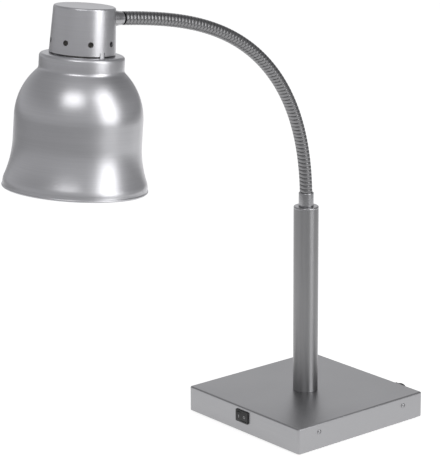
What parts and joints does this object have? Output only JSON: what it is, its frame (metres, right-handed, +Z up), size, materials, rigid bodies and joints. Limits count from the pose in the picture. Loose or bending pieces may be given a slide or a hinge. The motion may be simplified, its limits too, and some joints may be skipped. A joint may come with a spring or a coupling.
{
  "type": "food warming lamp",
  "caption": "Table-top food warming lamp: square base with a rocker switch, upright tube, flexible ribbed neck, and a bell shade with a vented cap over a reflector lamp.",
  "frame": {"origin": "centre of the underside of the base, on the surface that the lamp stands on", "axes": "+Z up along the pole, -Y out over the side with the switch, where the shade hangs"},
  "size_m": [0.2038, 0.532, 0.54],
  "materials": {
    "housing": "brushed stainless sheet",
    "pole_steel": "fine satin stainless tube",
    "inner_steel": "plain zinc plated steel",
    "ballast": "dark painted plate",
    "neck": "plated, bright on the ribs",
    "fitting_chrome": "plated and polished",
    "hood_metal": "spun and satin finished",
    "switch_black": "black, satin",
    "rubber_black": "black, matt",
    "gland_plastic": "black nylon",
    "block_plastic": "white, plain",
    "brass_parts": "plain",
    "lead_sheath": "white silicone, plain",
    "core_brown": "plain",
    "core_green": "plain",
    "holder_ceramic": "glazed, plain",
    "lamp_envelope": "silvered reflector with a clear front"
  },
  "bodies": {
    "base": {"base_cover": "housing", "cover_screws": "fitting_chrome", "bottom_plate": "inner_steel", "rubber_mat": "rubber_black", "ballast_weight": "ballast", "ballast_screws": "inner_steel", "switch_housing": "switch_black", "switch_terminals": "brass_parts", "gland_body": "gland_plastic", "gland_seal": "rubber_black", "gland_dome_nut": "gland_plastic", "gland_locknut": "gland_plastic", "terminal_block": "block_plastic", "terminal_screws": "inner_steel", "earth_stud": "inner_steel", "earth_ring": "brass_parts", "earth_nut": "inner_steel", "switch_lead_in": "core_brown", "switch_lead_out": "core_brown", "earth_lead": "core_green", "pole_foot_plug": "inner_steel", "pole_washer": "inner_steel", "pole_nut": "inner_steel", "pole_tube": "pole_steel", "pole_cap": "pole_steel", "lower_ferrule": "fitting_chrome", "lamp_lead": "lead_sheath"},
    "rocker": {"switch_rocker": "switch_black"},
    "link_01": {"neck_link_01": "neck"},
    "link_02": {"neck_link_02": "neck"},
    "link_03": {"neck_link_03": "neck"},
    "link_04": {"neck_link_04": "neck"},
    "link_05": {"neck_link_05": "neck"},
    "link_06": {"neck_link_06": "neck"},
    "link_07": {"neck_link_07": "neck"},
    "link_08": {"neck_link_08": "neck"},
    "link_09": {"neck_link_09": "neck"},
    "link_10": {"neck_link_10": "neck"},
    "link_11": {"neck_link_11": "neck"},
    "link_12": {"neck_link_12": "neck"},
    "link_13": {"neck_link_13": "neck"},
    "link_14": {"neck_link_14": "neck"},
    "hood": {"upper_ferrule": "fitting_chrome", "nipple_nut": "inner_steel", "cap": "hood_metal", "shade": "hood_metal", "holder_bracket": "inner_steel", "holder_screws": "inner_steel", "lampholder_body": "holder_ceramic", "lampholder_shell": "brass_parts", "lampholder_contact": "brass_parts", "lamp_tip": "inner_steel", "lamp_cap": "brass_parts", "lamp_glass": "lamp_envelope"}
  },
  "joints": [
    {"name": "neck_bend_01", "type": "hinge", "parent": "base", "child": "link_01", "pos_m": [0, 0, 0.28027], "axis": [1, 0, 0], "range_deg": [-10, 4], "deforming": ["lamp_lead"]},
    {"name": "neck_sway_02", "type": "hinge", "parent": "link_01", "child": "link_02", "pos_m": [0, -0.0021, 0.30882], "axis": [0, 0.9928, 0.1199], "range_deg": [-8, 8], "deforming": ["lamp_lead"]},
    {"name": "neck_bend_03", "type": "hinge", "parent": "link_02", "child": "link_03", "pos_m": [0, -0.00685, 0.33705], "axis": [1, 0, 0], "range_deg": [-10, 4], "deforming": ["lamp_lead"]},
    {"name": "neck_sway_04", "type": "hinge", "parent": "link_03", "child": "link_04", "pos_m": [0, -0.01472, 0.36457], "axis": [0, 0.9422, 0.3351], "range_deg": [-8, 8], "deforming": ["lamp_lead"]},
    {"name": "neck_bend_05", "type": "hinge", "parent": "link_04", "child": "link_05", "pos_m": [0, -0.026, 0.39088], "axis": [1, 0, 0], "range_deg": [-10, 4], "deforming": ["lamp_lead"]},
    {"name": "neck_sway_06", "type": "hinge", "parent": "link_05", "child": "link_06", "pos_m": [0, -0.04078, 0.4154], "axis": [0, 0.8175, 0.576], "range_deg": [-8, 8], "deforming": ["lamp_lead"]},
    {"name": "neck_bend_07", "type": "hinge", "parent": "link_06", "child": "link_07", "pos_m": [0, -0.05889, 0.43756], "axis": [1, 0, 0], "range_deg": [-10, 4], "deforming": ["lamp_lead"]},
    {"name": "neck_sway_08", "type": "hinge", "parent": "link_07", "child": "link_08", "pos_m": [0, -0.07998, 0.45692], "axis": [0, 0.6243, 0.7812], "range_deg": [-8, 8], "deforming": ["lamp_lead"]},
    {"name": "neck_bend_09", "type": "hinge", "parent": "link_08", "child": "link_09", "pos_m": [0, -0.10351, 0.47322], "axis": [1, 0, 0], "range_deg": [-10, 4], "deforming": ["lamp_lead"]},
    {"name": "neck_sway_10", "type": "hinge", "parent": "link_09", "child": "link_10", "pos_m": [0, -0.12891, 0.48642], "axis": [0, 0.4112, 0.9115], "range_deg": [-8, 8], "deforming": ["lamp_lead"]},
    {"name": "neck_bend_11", "type": "hinge", "parent": "link_10", "child": "link_11", "pos_m": [0, -0.15562, 0.49673], "axis": [1, 0, 0], "range_deg": [-10, 4], "deforming": ["lamp_lead"]},
    {"name": "neck_sway_12", "type": "hinge", "parent": "link_11", "child": "link_12", "pos_m": [0, -0.18317, 0.50451], "axis": [0, 0.2365, 0.9716], "range_deg": [-8, 8], "deforming": ["lamp_lead"]},
    {"name": "neck_bend_13", "type": "hinge", "parent": "link_12", "child": "link_13", "pos_m": [0, -0.21121, 0.51026], "axis": [1, 0, 0], "range_deg": [-10, 4], "deforming": ["lamp_lead"]},
    {"name": "neck_sway_14", "type": "hinge", "parent": "link_13", "child": "link_14", "pos_m": [0, -0.23952, 0.51452], "axis": [0, 0.1317, 0.9913], "range_deg": [-8, 8], "deforming": ["lamp_lead"]},
    {"name": "neck_bend_15", "type": "hinge", "parent": "link_14", "child": "hood", "pos_m": [0, -0.26796, 0.5178], "axis": [1, 0, 0], "range_deg": [-10, 4], "deforming": ["lamp_lead"]},
    {"name": "switch_rock", "type": "hinge", "parent": "base", "child": "rocker", "pos_m": [0, -0.1005, 0.02105], "axis": [0, 0, -1], "range_deg": [0, 20]}
  ]
}
